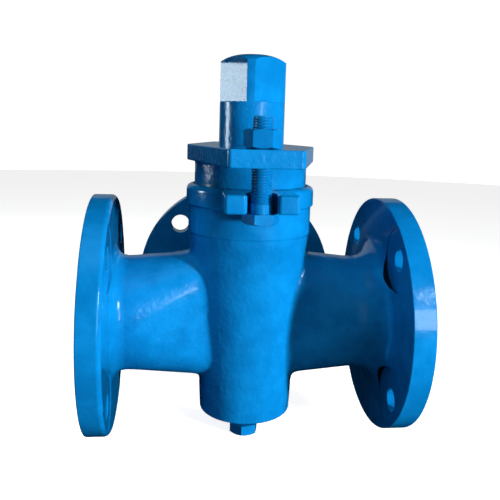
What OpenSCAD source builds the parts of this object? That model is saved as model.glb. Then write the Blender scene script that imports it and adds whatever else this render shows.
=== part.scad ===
// Three-way flanged taper plug valve with a packed gland, nominal bore 80 mm.
// The run lies along X from the left port at the origin, the branch points
// along +Y and the stem along +Z. The origin is the centre of the left port's
// raised face, on the ports' common axis.

/* [Flanges] */
// Outside diameter of every flange
flange_d = 195; // [190:1:205]
// Thickness of a flange rim, without its raised face
flange_t = 18; // [15:1:22]
// Diameter of the bolt circle
bolt_circle_d = 160; // [155:1:163]
// Diameter of a flange bolt hole
bolt_hole_d = 18; // [14:1:20]
// Diameter of the raised sealing face
raised_face_d = 135; // [110:1:138]
// Height of the raised sealing face
raised_face_h = 2; // [1:0.5:3]
// Diameter of the round port at a flange
port_d = 80; // [74:1:82]

/* [Lay lengths] */
// Length of the run between its two raised faces
face_to_face = 260; // [256:1:290]
// Distance from the stem's axis to the branch's raised face
branch_reach = 130; // [128:1:150]

/* [Body] */
// Height of the body's flat bottom below the port axis
body_bottom = 83.5; // [82:0.5:90]
// Height of the stuffing box's rim above the port axis
rim_z = 108.5; // [107:0.5:112]
// Diameter of the rim's collar
collar_d = 105; // [102:0.5:108]
// Width of a gland lug
lug_w = 55; // [50:1:60]
// Distance from the stem's axis to a gland bolt
gland_bolt_reach = 70; // [69:0.5:72]

/* [Plug] */
// Radius of the plug on the port axis
plug_r = 35.4; // [34:0.1:36]
// Width of the port through the plug
plug_port_w = 36; // [30:1:38]
// Height of the port through the plug
plug_port_h = 84; // [70:1:86]
// Diameter of the stem
stem_d = 53.4; // [50:0.1:53.6]
// Width across the flats of the square head
head_af = 42; // [40:0.5:44]
// Height of the square head's top above the port axis
head_top = 213.5; // [205:0.5:220]
// Angle of the square's corner from the branch line
head_turn = 10; // [0:1:45]

/* [Gland] */
// Thickness of the gland plate
plate_t = 13; // [12:0.5:14]
// Width of the gland plate at the stem
plate_w = 106; // [102:1:110]
// Length of the gland plate over both ends
plate_l = 193; // [188:1:198]
// Width of the gland plate at each end
plate_end_w = 53; // [46:1:58]
// Outside diameter of the gland sleeve
sleeve_d = 92; // [86:0.5:92]

/* [Fasteners] */
// Thread diameter of the gland bolts
gland_thread_d = 16; // [14:1:16]
// Width across the flats of the gland bolts and nuts
gland_af = 24; // [22:0.5:25]
// Thread diameter of the jack screw
jack_thread_d = 14; // [12:1:16]
// Width across the flats of the jack screw
jack_af = 22; // [20:0.5:24]

/* [Hidden] */
$fn = 96;

// Clearances: a running fit, a sliding fit and a gap that never closes
running_gap = 0.06;
thread_gap = 0.05;
slide_gap = 0.3;

// The stem's axis, and each port as its angle about that axis and its reach
stem_x = face_to_face / 2;
run_reach = face_to_face / 2;
PORTS = [[180, run_reach], [0, run_reach], [90, branch_reach]];
bolt_count = 4;
rim_chamfer = 1;
hub_fillet = 20;
spot_r = 26;
spot_depth = 0.4;
spot_h = 12;

// Necks: round at the flange, tall and narrow at the body
hub_r = 46.5;
hub_h = 3;
neck_r = 46;
neck_lap = 1;
neck_foot_half_h = 53;
neck_foot_half_w = 27;
neck_foot_r = 22;
neck_foot_reach = 28;
port_foot_reach = 33;
port_foot_r = 17.5;
port_foot_lap = 2;
port_straight = 30;
port_step = 1;
blend_fn = 32;

// Body: outer cone, step below the stuffing box, and wall sizes
foot_r = 38.3;
foot_top_r = 39.4;
foot_top = -58;
foot_chamfer = 1.5;
cone_top_r = 50.1;
cone_top = 70;
box_outer_r = 50.6;
collar_bottom = 92;
collar_round = 4.5;
taper = 12;
seat_top = 64;
seat_bottom = -58;
relief_r = 31.6;
relief_bottom = -72;
box_r = sleeve_d / 2 + slide_gap;

// Lugs with their open slots
lug_bottom = 94;
lug_top = 108;
lug_reach = 82;
lug_slot_w = 21.8;
lug_slot_start = gland_bolt_reach;
lug_corner_r = 4;

// Plug
plug_bottom = -62;
plug_top = 60;
shoulder_z = 175.3;
head_chamfer_h = 5;
head_chamfer_r = 8.5;
mark_w = 4;
mark_depth = 3;

// Gland and packing
plate_bottom = 127.5;
plate_top = plate_bottom + plate_t;
plate_corner_r = 3;
plate_hole_d = 18;
sleeve_bottom = 95;
washer_t = 4;
ring_count = 4;
ring_gap = 0.05;
ring_h = (sleeve_bottom - seat_top - washer_t) / ring_count;

// Gland bolts and nuts
bolt_head_h = 8;
bolt_end = 163.5;
gland_nut_h = 14;
bolt_head_turn = 5;
gland_nut_turn = -7;
hex_chamfer = 1.2;
tip_chamfer = 1.5;

// Jack screw below the body
pad_h = 5;
pad_r = 11;
pad_bottom = plug_bottom - pad_h;
seal_h = 2;
lock_nut_h = 8;
jack_head_top = -98.7;
jack_head_h = 8.8;
jack_turn_deg = 10;

function seat_radius(z) = plug_r + z / taper;

// Moves children from the stem's axis to the valve's origin
module on_stem() {
    translate([stem_x, 0, 0]) children();
}

// Lays children, drawn along +Z from the stem's axis, along one port
module along_port(angle) {
    rotate([0, 0, angle]) rotate([0, 90, 0]) children();
}

// A ring between two radii
module tube(inner_r, outer_r, bottom, height) {
    translate([0, 0, bottom]) difference() {
        cylinder(r = outer_r, h = height);
        translate([0, 0, -1]) cylinder(r = inner_r, h = height + 2);
    }
}

// A hexagon prism whose upper or lower corners are turned off by a cone
module hexagon(af, height, top_cut = false, bottom_cut = false) {
    corner_r = af / sqrt(3);
    intersection() {
        cylinder(r = corner_r, h = height, $fn = 6);
        union() {
            cut_r = af / 2 + 0.3;
            low = bottom_cut ? hex_chamfer : 0;
            high = top_cut ? hex_chamfer : 0;
            translate([0, 0, low]) cylinder(r = corner_r + 1, h = height - low - high);
            if (bottom_cut) cylinder(r1 = cut_r, r2 = corner_r + 0.1, h = low);
            if (top_cut) translate([0, 0, height - high]) cylinder(r1 = corner_r + 0.1, r2 = cut_r, h = high);
        }
    }
}

// Flange rim, raised face and hub fillet as one turned shape
module flange(reach) {
    back = reach - raised_face_h - flange_t;
    front = reach - raised_face_h;
    rim_r = flange_d / 2;
    fillet_r = hub_r + hub_fillet;
    rotate_extrude() {
        polygon([
            [0, back - hub_fillet - hub_h], [hub_r, back - hub_fillet - hub_h],
            [hub_r, back], [rim_r - rim_chamfer, back], [rim_r, back + rim_chamfer],
            [rim_r, front - rim_chamfer], [rim_r - rim_chamfer, front],
            [raised_face_d / 2, front], [raised_face_d / 2, reach], [0, reach]
        ]);
        difference() {
            translate([hub_r - 1, back - hub_fillet]) square([hub_fillet + 1, hub_fillet + 1]);
            translate([fillet_r, back - hub_fillet]) circle(r = hub_fillet);
        }
    }
}

// Solid neck, from its round end at the flange to its tall foot in the body
module neck(reach) {
    hub_start = reach - raised_face_h - flange_t - hub_fillet - hub_h;
    side = neck_foot_half_w - neck_foot_r;
    up = neck_foot_half_h - neck_foot_r;
    hull() {
        translate([0, 0, hub_start]) cylinder(r = neck_r, h = neck_lap, $fn = 2 * blend_fn);
        for (sx = [-1, 1], sy = [-1, 1])
            translate([sx * up, sy * side, neck_foot_reach])
                cylinder(r = neck_foot_r, h = 1, $fn = blend_fn);
    }
}

// Flow passage: a round bore, a blend, and the tall port in the seat wall
module passage(reach) {
    straight_start = reach - port_straight;
    up = (plug_port_h - plug_port_w) / 2;
    translate([0, 0, straight_start]) cylinder(d = port_d, h = port_straight + 1);
    hull() {
        translate([0, 0, straight_start])
            cylinder(r = port_d / 2 - port_step, h = 1, $fn = 2 * blend_fn);
        for (s = [-1, 1])
            translate([s * up, 0, port_foot_reach]) cylinder(r = port_foot_r, h = 1, $fn = blend_fn);
    }
    tall_port(10, port_foot_reach + port_foot_lap);
}

// Straight port with round ends, along +Z from one height to another
module tall_port(bottom, top) {
    slot_r = plug_port_w / 2;
    up = plug_port_h / 2 - slot_r;
    translate([-up, -slot_r, bottom]) cube([2 * up, plug_port_w, top - bottom]);
    for (s = [-1, 1])
        translate([s * up, 0, bottom]) cylinder(r = slot_r, h = top - bottom);
}

// Bolt holes and their spot faces on the back of one flange
module flange_holes(reach) {
    back = reach - raised_face_h - flange_t;
    for (i = [0 : bolt_count - 1])
        rotate([0, 0, 45 + i * 360 / bolt_count]) translate([bolt_circle_d / 2, 0, 0]) {
            translate([0, 0, back - 1]) cylinder(d = bolt_hole_d, h = flange_t + raised_face_h + 2);
            translate([0, 0, back - spot_h]) cylinder(r = spot_r, h = spot_h + spot_depth);
        }
}

// Outer turned shape of the body, from its flat bottom to the stuffing box rim
module body_barrel() {
    collar_r = collar_d / 2;
    rotate_extrude() {
        polygon([
            [0, -body_bottom], [foot_r - foot_chamfer, -body_bottom],
            [foot_r, -body_bottom + foot_chamfer], [foot_top_r, foot_top],
            [cone_top_r, cone_top], [box_outer_r, cone_top + 1],
            [box_outer_r, collar_bottom], [collar_r, collar_bottom + 1],
            [collar_r, rim_z - collar_round], [collar_r - collar_round, rim_z],
            [0, rim_z]
        ]);
        translate([collar_r - collar_round, rim_z - collar_round]) circle(r = collar_round);
    }
}

// One gland lug on the -Y side, with its open slot cut later
module lug() {
    translate([-lug_w / 2, -lug_reach + lug_corner_r, lug_bottom])
        cube([lug_w, lug_reach - lug_corner_r, lug_top - lug_bottom]);
    translate([-lug_w / 2 + lug_corner_r, -lug_reach, lug_bottom])
        cube([lug_w - 2 * lug_corner_r, lug_reach, lug_top - lug_bottom]);
    for (s = [-1, 1])
        translate([s * (lug_w / 2 - lug_corner_r), -lug_reach + lug_corner_r, lug_bottom])
            cylinder(r = lug_corner_r, h = lug_top - lug_bottom);
}

// Open slot of one lug
module lug_slot() {
    height = lug_top - lug_bottom + 2;
    translate([-lug_slot_w / 2, -lug_reach - 1, lug_bottom - 1])
        cube([lug_slot_w, lug_reach + 1 - lug_slot_start, height]);
    translate([0, -lug_slot_start, lug_bottom - 1]) cylinder(d = lug_slot_w, h = height);
}

// Places children at the front and the back of the stem's axis
module both_sides() {
    children();
    rotate([0, 0, 180]) children();
}

// Seat, relief below it, stuffing box above it and the jack screw's thread
module body_cavity() {
    seat_h = seat_top - seat_bottom;
    translate([0, 0, seat_bottom])
        cylinder(
            r1 = seat_radius(seat_bottom) + running_gap, r2 = seat_radius(seat_top) + running_gap, h = seat_h
        );
    translate([0, 0, relief_bottom]) cylinder(r = relief_r, h = seat_bottom - relief_bottom);
    translate([0, 0, seat_top]) cylinder(r = box_r, h = rim_z - seat_top + 1);
    translate([0, 0, -body_bottom - 1])
        cylinder(r = jack_thread_d / 2 + thread_gap, h = body_bottom + relief_bottom + 2);
}

module body() {
    color("#0a7fd4") on_stem() difference() {
        union() {
            body_barrel();
            both_sides() lug();
            for (p = PORTS) along_port(p[0]) {
                flange(p[1]);
                neck(p[1]);
            }
        }
        body_cavity();
        both_sides() lug_slot();
        for (p = PORTS) along_port(p[0]) {
            passage(p[1]);
            flange_holes(p[1]);
        }
    }
}

// Square head turned off at the stem's diameter, with a cone at the top
module square_head() {
    height = head_top - shoulder_z;
    translate([0, 0, shoulder_z]) intersection() {
        rotate([0, 0, 45 - head_turn])
            translate([-head_af / 2, -head_af / 2, 0]) cube([head_af, head_af, height]);
        union() {
            cylinder(d = stem_d, h = height - head_chamfer_h);
            translate([0, 0, height - head_chamfer_h])
                cylinder(r1 = stem_d / 2, r2 = stem_d / 2 - head_chamfer_r, h = head_chamfer_h);
        }
    }
}

// T-shaped groove on the head's top that shows how the port lies
module port_mark() {
    length = head_af;
    translate([-length / 2, -mark_w / 2, head_top - mark_depth]) cube([length, mark_w, mark_depth + 1]);
    translate([-mark_w / 2, 0, head_top - mark_depth]) cube([mark_w, length / 2, mark_depth + 1]);
}

module plug() {
    color("#0a86dd") on_stem() difference() {
        union() {
            translate([0, 0, plug_bottom])
                cylinder(
                    r1 = seat_radius(plug_bottom), r2 = seat_radius(plug_top), h = plug_top - plug_bottom
                );
            cylinder(d = stem_d, h = shoulder_z);
            square_head();
        }
        for (angle = [90, 180]) along_port(angle) tall_port(0, seat_radius(plug_top) + 1);
        along_port(0) tall_port(-1, seat_radius(plug_top) + 1);
        port_mark();
    }
}

// Outline of the gland plate: six straight sides with small round corners
module plate_outline() {
    end_x = plate_end_w / 2 - plate_corner_r;
    end_y = plate_l / 2 - plate_corner_r;
    side_x = plate_w / 2 - plate_corner_r * 1.1;
    polygon([
        for (i = [0 : 5])
            let (corner = [[side_x, 0], [end_x, end_y], [-end_x, end_y],
                           [-side_x, 0], [-end_x, -end_y], [end_x, -end_y]][i],
                 side_angle = atan2(side_x - end_x, end_y),
                 from = [-side_angle, side_angle, 90, 180 - side_angle, 180 + side_angle, 270][i],
                 to = [side_angle, 90, 180 - side_angle, 180 + side_angle, 270, 360 - side_angle][i])
                for (step = [0 : 4])
                    let (a = from + (to - from) * step / 4)
                        corner + plate_corner_r * [cos(a), sin(a)]
    ]);
}

module gland() {
    color("#0b7ccc") on_stem() difference() {
        union() {
            translate([0, 0, plate_bottom]) linear_extrude(plate_t) plate_outline();
            translate([0, 0, sleeve_bottom]) cylinder(d = sleeve_d, h = plate_bottom - sleeve_bottom + 1);
        }
        translate([0, 0, sleeve_bottom - 1])
            cylinder(r = stem_d / 2 + slide_gap, h = plate_top - sleeve_bottom + 2);
        both_sides() translate([0, -gland_bolt_reach, plate_bottom - 1])
            cylinder(d = plate_hole_d, h = plate_t + 2);
    }
}

// Gland bolt with its head under the lug, on the -Y side
module gland_bolt() {
    shank_h = bolt_end - lug_bottom;
    translate([0, -gland_bolt_reach, lug_bottom]) {
        translate([0, 0, -bolt_head_h]) rotate([0, 0, bolt_head_turn])
            hexagon(gland_af, bolt_head_h, bottom_cut = true);
        translate([0, 0, -1]) cylinder(d = gland_thread_d, h = shank_h + 1 - tip_chamfer);
        translate([0, 0, shank_h - tip_chamfer])
            cylinder(d1 = gland_thread_d, d2 = gland_thread_d - 2 * tip_chamfer, h = tip_chamfer);
    }
}

module gland_bolt_front() {
    color("#0a78c8") on_stem() gland_bolt();
}

module gland_bolt_back() {
    color("#0a78c8") on_stem() rotate([0, 0, 180]) gland_bolt();
}

// Gland nut on the plate, on the -Y side
module gland_nut() {
    translate([0, -gland_bolt_reach, plate_top]) difference() {
        rotate([0, 0, gland_nut_turn]) hexagon(gland_af, gland_nut_h, top_cut = true);
        translate([0, 0, -1]) cylinder(r = gland_thread_d / 2 + thread_gap, h = gland_nut_h + 2);
    }
}

module gland_nut_front() {
    color("#0a78c8") on_stem() gland_nut();
}

module gland_nut_back() {
    color("#0a78c8") on_stem() rotate([0, 0, 180]) gland_nut();
}

module packing_washer() {
    color("silver") on_stem() tube(stem_d / 2 + slide_gap, box_r - ring_gap, seat_top, washer_t);
}

// One packing ring, counted from the bottom of the stuffing box
module packing_ring(index) {
    bottom = seat_top + washer_t + (index - 1) * ring_h;
    color("#3a3a3c") on_stem() tube(stem_d / 2 + slide_gap, box_r - ring_gap, bottom, ring_h - ring_gap);
}

module packing_ring_1() {
    packing_ring(1);
}

module packing_ring_2() {
    packing_ring(2);
}

module packing_ring_3() {
    packing_ring(3);
}

module packing_ring_4() {
    packing_ring(4);
}

module thrust_pad() {
    color("silver") on_stem() translate([0, 0, pad_bottom]) cylinder(r = pad_r, h = pad_h);
}

module jack_screw() {
    thread_h = pad_bottom - jack_head_top;
    color("#0a78c8") on_stem() {
        translate([0, 0, jack_head_top - jack_head_h]) rotate([0, 0, jack_turn_deg])
            hexagon(jack_af, jack_head_h, bottom_cut = true);
        translate([0, 0, jack_head_top - 1]) cylinder(d = jack_thread_d, h = thread_h + 1);
    }
}

module jack_lock_nut() {
    color("#0a78c8") on_stem() translate([0, 0, -body_bottom - seal_h - lock_nut_h]) difference() {
        rotate([0, 0, jack_turn_deg]) hexagon(jack_af, lock_nut_h, bottom_cut = true);
        translate([0, 0, -1]) cylinder(r = jack_thread_d / 2 + thread_gap, h = lock_nut_h + 2);
    }
}

module jack_seal_washer() {
    color("peru") on_stem() tube(jack_thread_d / 2 + slide_gap, jack_af / 2, -body_bottom - seal_h, seal_h);
}

body();
plug();
gland();
gland_bolt_front();
gland_bolt_back();
gland_nut_front();
gland_nut_back();
packing_washer();
packing_ring_1();
packing_ring_2();
packing_ring_3();
packing_ring_4();
thrust_pad();
jack_screw();
jack_lock_nut();
jack_seal_washer();
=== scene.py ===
"""Three-way flanged plug valve: the painted looks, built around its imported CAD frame.

Shapes are drawn in millimetres about the stem's axis, with the run along X, the branch along +Y
and the stem along +Z. Each finished piece is then scaled to metres and put at the frame's place.
"""

from __future__ import annotations

import logging
import math
from collections.abc import Callable, Iterable, Sequence
from dataclasses import dataclass
from enum import Enum
from functools import cache
from typing import NamedTuple

import bmesh
import bpy
from mathutils import Matrix, Vector


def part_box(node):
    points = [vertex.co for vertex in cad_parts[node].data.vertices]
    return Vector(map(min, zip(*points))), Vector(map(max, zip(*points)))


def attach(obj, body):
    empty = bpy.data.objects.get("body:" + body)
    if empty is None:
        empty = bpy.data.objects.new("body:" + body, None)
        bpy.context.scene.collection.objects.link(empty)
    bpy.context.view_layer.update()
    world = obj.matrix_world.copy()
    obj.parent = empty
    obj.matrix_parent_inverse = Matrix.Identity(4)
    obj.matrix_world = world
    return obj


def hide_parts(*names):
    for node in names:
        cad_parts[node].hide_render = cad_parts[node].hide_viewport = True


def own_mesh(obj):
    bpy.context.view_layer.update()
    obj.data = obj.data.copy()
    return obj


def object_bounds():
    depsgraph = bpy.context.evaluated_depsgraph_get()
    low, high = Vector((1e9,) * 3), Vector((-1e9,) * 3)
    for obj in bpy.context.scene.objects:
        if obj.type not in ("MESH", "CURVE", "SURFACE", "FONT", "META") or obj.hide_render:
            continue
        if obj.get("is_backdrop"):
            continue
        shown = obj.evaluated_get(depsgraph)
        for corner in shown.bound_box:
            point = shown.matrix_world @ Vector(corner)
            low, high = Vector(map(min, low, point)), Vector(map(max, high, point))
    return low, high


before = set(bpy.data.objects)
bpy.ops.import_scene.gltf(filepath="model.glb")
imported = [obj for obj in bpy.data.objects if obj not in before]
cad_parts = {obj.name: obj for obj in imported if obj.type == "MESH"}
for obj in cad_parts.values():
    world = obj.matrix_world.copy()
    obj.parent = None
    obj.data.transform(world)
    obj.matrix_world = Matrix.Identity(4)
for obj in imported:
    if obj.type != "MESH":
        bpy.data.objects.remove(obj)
CAD_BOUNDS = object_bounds()

MM = 0.001
LOG = logging.getLogger("plug_valve")
Triple = tuple[float, float, float]
Z_AXIS = Vector((0, 0, 1))
ROUND_STEPS = 5
WELD_DISTANCE = 1e-4
# The height in which the plug and its seat grow by one in radius
TAPER_RUN = 12
# Threads: faces in a turn, depth over pitch, and a tooth as rises over the root along one pitch
THREAD_STEPS = 40
THREAD_DEPTH = 0.56
TOOTH = ((0.0, 0.0), (0.08, 0.0), (0.42, 0.94), (0.5, 1.0), (0.58, 0.94), (0.92, 0.0), (1.0, 0.0))
# Hexagons: the washer face over the width across the flats, the cone's slope and the worn edges
WASHER_SHARE = 0.475
CONE_SLOPE = math.tan(math.radians(30))
WORN_EDGE = 0.35
# A thread starts this many turns under its lower cut, so that none of its points lies on the cut
THREAD_LEAD = 1.37
TURN_WELD = 0.02
# The colour sockets of a Mix node
FIRST_COLOUR, SECOND_COLOUR, MIXED_COLOUR = 6, 7, 2


class Corner(NamedTuple):
    """One corner of a turned profile: its radius, its height and how far back it is rounded."""

    radius: float
    height: float
    rounding: float = 0.0


class Join(Enum):
    """How one solid acts on another."""

    ADD = "UNION"
    CUT = "DIFFERENCE"
    KEEP_COMMON = "INTERSECT"


class Finish(Enum):
    """The record's material slots."""

    CASTING = "blue_casting"
    MACHINED = "blue_machined"
    FASTENER = "blue_fastener"
    STEEL = "bare_steel"
    GRAPHITE = "graphite"
    COPPER = "copper"


def add_object(name: str, data: bpy.types.ID) -> bpy.types.Object:
    """Puts a new object in the scene."""
    made = bpy.data.objects.new(name, data)
    bpy.context.scene.collection.objects.link(made)
    return made


def span(node: str) -> tuple[Vector, Vector]:
    """Gives the lowest and highest corners of a CAD node's box, in millimetres."""
    low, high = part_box(node)
    return low / MM, high / MM


def round_corners(
    bm: bmesh.types.BMesh, verts: Sequence[bmesh.types.BMVert], widths: Sequence[float],
    steps: int = ROUND_STEPS,
) -> None:
    """Rounds the corners of a wire or a face.

    Args:
        bm: The mesh.
        verts: The corners.
        widths: How far back each one is rounded, or zero.
        steps: How many edges make a round.
    """
    for vert, width in zip(verts, widths):
        if width > 0:
            bmesh.ops.bevel(
                bm, geom=[vert], offset=width, offset_type="OFFSET", segments=steps,
                profile=0.5, affect="VERTICES", material=-1,
            )


def spin(bm: bmesh.types.BMesh, geom: Sequence[object], steps: int, rise: float = 0.0) -> None:
    """Spins points and edges a full turn about the Z axis, and closes it if it does not rise.

    Args:
        bm: The mesh.
        geom: The points and edges.
        steps: How many faces go round.
        rise: How far each step climbs.
    """
    bmesh.ops.spin(
        bm, geom=geom, cent=(0, 0, 0), axis=Z_AXIS, dvec=(0, 0, rise), angle=math.tau,
        steps=steps, use_merge=rise == 0, use_duplicate=False,
    )


@dataclass(frozen=True)
class Port:
    """One of the valve's ports, and how its flange was cast and ground.

    The angle is its axis's about the stem, and the reach is its face's from the stem.
    """

    angle: float
    reach: float
    hub_fillet: float = 20.0
    inner_edge: float = 0.8


@dataclass(frozen=True)
class Layout:
    """Places that the sub-assemblies share, in millimetres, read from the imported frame."""

    stem_x: float
    run_reach: float
    branch_reach: float
    flange_r: float
    bottom: float
    rim: float
    plug_bottom: float
    head_top: float
    plate_top: float
    sleeve_bottom: float
    bolt_reach: float
    bolt_bottom: float
    bolt_end: float
    jack_bottom: float
    jack_tip: float

    @classmethod
    def from_frame(cls) -> Layout:
        """Measures the CAD nodes' boxes.

        Returns:
            The layout about the stem's axis.
        """
        body_low, body_high = span("body")
        plug_low, plug_high = span("plug")
        gland_low, gland_high = span("gland")
        bolt_low, bolt_high = span("gland_bolt_back")
        jack_low, jack_high = span("jack_screw")
        centre_x = (body_low.x + body_high.x) / 2
        return cls(
            stem_x=centre_x, run_reach=body_high.x - centre_x, branch_reach=body_high.y,
            flange_r=-body_low.y, bottom=span("jack_seal_washer")[1].z, rim=body_high.z,
            plug_bottom=plug_low.z, head_top=plug_high.z, plate_top=gland_high.z,
            sleeve_bottom=gland_low.z, bolt_reach=(bolt_low.y + bolt_high.y) / 2,
            bolt_bottom=bolt_low.z, bolt_end=bolt_high.z, jack_bottom=jack_low.z, jack_tip=jack_high.z,
        )

    @property
    def ports(self) -> tuple[Port, ...]:
        """The left, right and branch ports."""
        return (
            Port(math.pi, self.run_reach, hub_fillet=12.0, inner_edge=4.0),
            Port(0.0, self.run_reach),
            Port(math.pi / 2, self.branch_reach),
        )


class Shape:
    """A closed solid in the making, in millimetres about the stem's axis."""

    def __init__(self, bm: bmesh.types.BMesh) -> None:
        """Wraps a bmesh and turns its faces outwards.

        Args:
            bm: The closed mesh.
        """
        self.bm = bm
        self._tidy()

    def _tidy(self) -> None:
        """Merges doubled points and turns every face outwards."""
        bmesh.ops.remove_doubles(self.bm, verts=self.bm.verts[:], dist=WELD_DISTANCE)
        bmesh.ops.recalc_face_normals(self.bm, faces=self.bm.faces[:])

    @classmethod
    def turned(cls, corners: Sequence[Corner], segments: int = 96, ring: bool = False) -> Shape:
        """Spins a profile a full turn about the Z axis.

        Args:
            corners: The profile. Its ends are joined to the axis, unless it is a ring.
            segments: How many faces go round.
            ring: Whether the profile is closed and stays clear of the axis.

        Returns:
            The turned solid.
        """
        profile = list(corners)
        if not ring:
            profile.insert(0, Corner(0, profile[0].height))
            if profile[-1].radius > 0:
                profile.append(Corner(0, profile[-1].height))
        bm = bmesh.new()
        verts = [bm.verts.new((corner.radius, 0, corner.height)) for corner in profile]
        ends = verts[1:] + verts[:1] if ring else verts[1:]
        for pair in zip(verts, ends):
            bm.edges.new(pair)
        round_corners(bm, verts, [corner.rounding for corner in profile])
        spin(bm, bm.verts[:] + bm.edges[:], segments)
        return cls(bm)

    @classmethod
    def cylinder(cls, radius: float, bottom: float, top: float, segments: int = 64) -> Shape:
        """Makes an upright cylinder, or a prism when it has few segments."""
        bm = bmesh.new()
        bmesh.ops.create_cone(
            bm, cap_ends=True, segments=segments, radius1=radius, radius2=radius, depth=top - bottom,
        )
        bmesh.ops.translate(bm, verts=bm.verts, vec=(0, 0, (top + bottom) / 2))
        return cls(bm)

    @classmethod
    def block(cls, low: Sequence[float], high: Sequence[float]) -> Shape:
        """Makes a box between two corners."""
        bm = bmesh.new()
        bmesh.ops.create_cube(bm, size=1)
        size = Vector(high) - Vector(low)
        bmesh.ops.scale(bm, verts=bm.verts, vec=size)
        bmesh.ops.translate(bm, verts=bm.verts, vec=(Vector(high) + Vector(low)) / 2)
        return cls(bm)

    @classmethod
    def prism(cls, outline: Sequence[Corner], bottom: float, top: float) -> Shape:
        """Raises an outline, whose corners are rounded first, into an upright plate.

        Args:
            outline: The corners in order, with a corner's radius as X and its height as Y.
            bottom: The plate's lower face.
            top: The plate's upper face.

        Returns:
            The plate.
        """
        bm = bmesh.new()
        verts = [bm.verts.new((corner.radius, corner.height, bottom)) for corner in outline]
        bm.faces.new(verts)
        round_corners(bm, verts, [corner.rounding for corner in outline])
        raised = bmesh.ops.extrude_face_region(bm, geom=bm.faces[:])["geom"]
        moved = [item for item in raised if isinstance(item, bmesh.types.BMVert)]
        bmesh.ops.translate(bm, verts=moved, vec=(0, 0, top - bottom))
        return cls(bm)

    @classmethod
    def lofted(cls, sections: Sequence[RoundSlot]) -> Shape:
        """Bridges a row of round-cornered sections, and closes both ends.

        Args:
            sections: The sections from one end to the other.

        Returns:
            The lofted solid, along +Z.
        """
        bm = bmesh.new()
        loops = [section.draw(bm) for section in sections]
        bmesh.ops.contextual_create(bm, geom=loops[0])
        bmesh.ops.contextual_create(bm, geom=loops[-1])
        for lower, upper in zip(loops, loops[1:]):
            bmesh.ops.bridge_loops(bm, edges=lower + upper)
        return cls(bm)

    @classmethod
    def thread(cls, major_r: float, pitch: float, bottom: float, top: float) -> Shape:
        """Winds a right-handed thread with its core, cut flat at both ends.

        Args:
            major_r: The radius over the crests.
            pitch: The rise of one turn.
            bottom: The lower end.
            top: The upper end.

        Returns:
            The threaded rod.
        """
        depth = THREAD_DEPTH * pitch
        turns = math.ceil((top - bottom) / pitch) + 2
        bm = bmesh.new()
        verts = [
            bm.verts.new((major_r - depth * (1 - rise), 0, bottom + pitch * (along - THREAD_LEAD)))
            for along, rise in TOOTH
        ]
        edges = [bm.edges.new(pair) for pair in zip(verts, verts[1:])]
        spin(bm, verts + edges, THREAD_STEPS, rise=pitch / THREAD_STEPS)
        one_turn = bm.verts[:] + bm.edges[:] + bm.faces[:]
        for turn in range(1, turns):
            made = bmesh.ops.duplicate(bm, geom=one_turn)["geom"]
            copied = [item for item in made if isinstance(item, bmesh.types.BMVert)]
            bmesh.ops.translate(bm, verts=copied, vec=(0, 0, turn * pitch))
        bmesh.ops.remove_doubles(bm, verts=bm.verts[:], dist=TURN_WELD)
        for height, normal in ((bottom, -Z_AXIS), (top, Z_AXIS)):
            cut = bmesh.ops.bisect_plane(
                bm, geom=bm.verts[:] + bm.edges[:] + bm.faces[:], plane_co=(0, 0, height),
                plane_no=normal, clear_outer=True,
            )["geom_cut"]
            rim = [item for item in cut if isinstance(item, bmesh.types.BMEdge)]
            bmesh.ops.edgenet_fill(bm, edges=rim)
        return cls(bm)

    def copy(self) -> Shape:
        """Makes a second shape like this one."""
        return Shape(self.bm.copy())

    def turn(self, angle: float, axis: str = "Z") -> Shape:
        """Turns the shape about one of the main axes, by radians."""
        matrix = Matrix.Rotation(angle, 3, axis)
        bmesh.ops.rotate(self.bm, verts=self.bm.verts, cent=(0, 0, 0), matrix=matrix)
        return self

    def move(self, x: float = 0.0, y: float = 0.0, z: float = 0.0) -> Shape:
        """Moves the shape."""
        bmesh.ops.translate(self.bm, verts=self.bm.verts, vec=(x, y, z))
        return self

    def coat(self, index: int, sides: int | None = None) -> Shape:
        """Marks the faces with materials, which a cutter leaves on what it cuts.

        Args:
            index: The material's place in the piece's list.
            sides: The place for the upright faces, if it is another.

        Returns:
            This shape.
        """
        for face in self.bm.faces:
            upright = abs(face.normal.z) < 0.5
            face.material_index = sides if upright and sides is not None else index
        return self

    def along(self, port: Port) -> Shape:
        """Lays a shape that was drawn along +Z along a port's axis."""
        return self.turn(math.pi / 2, "Y").turn(port.angle, "Z")

    def round_edges(self, width: float, steps: int = 2, sharper_than: float = 30.0) -> Shape:
        """Bevels every edge that is sharper than an angle.

        Args:
            width: The bevel's width.
            steps: How many faces make the round.
            sharper_than: The least angle between the faces, in degrees.

        Returns:
            This shape.
        """
        limit = math.radians(sharper_than)
        edges = [e for e in self.bm.edges if e.is_manifold and e.calc_face_angle() > limit]
        bmesh.ops.bevel(
            self.bm, geom=edges, offset=width, offset_type="OFFSET", segments=steps,
            profile=0.5, affect="EDGES", clamp_overlap=True, material=-1,
        )
        self._tidy()
        return self

    def _object(self) -> bpy.types.Object:
        """Puts the shape in the scene for a modifier to work on."""
        mesh = bpy.data.meshes.new("work")
        self.bm.to_mesh(mesh)
        return add_object("work", mesh)

    def _modified(self, kind: str, **settings: object) -> Shape:
        """Applies one modifier to the shape.

        Args:
            kind: The modifier's type.
            **settings: Its settings.

        Returns:
            This shape.
        """
        work = self._object()
        modifier = work.modifiers.new(kind.title(), kind)
        for name, value in settings.items():
            setattr(modifier, name, value)
        bpy.context.view_layer.update()
        graph = bpy.context.evaluated_depsgraph_get()
        done = bpy.data.meshes.new_from_object(work.evaluated_get(graph))
        self.bm.clear()
        self.bm.from_mesh(done)
        for mesh in (work.data, done):
            bpy.data.meshes.remove(mesh)
        return self

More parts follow.
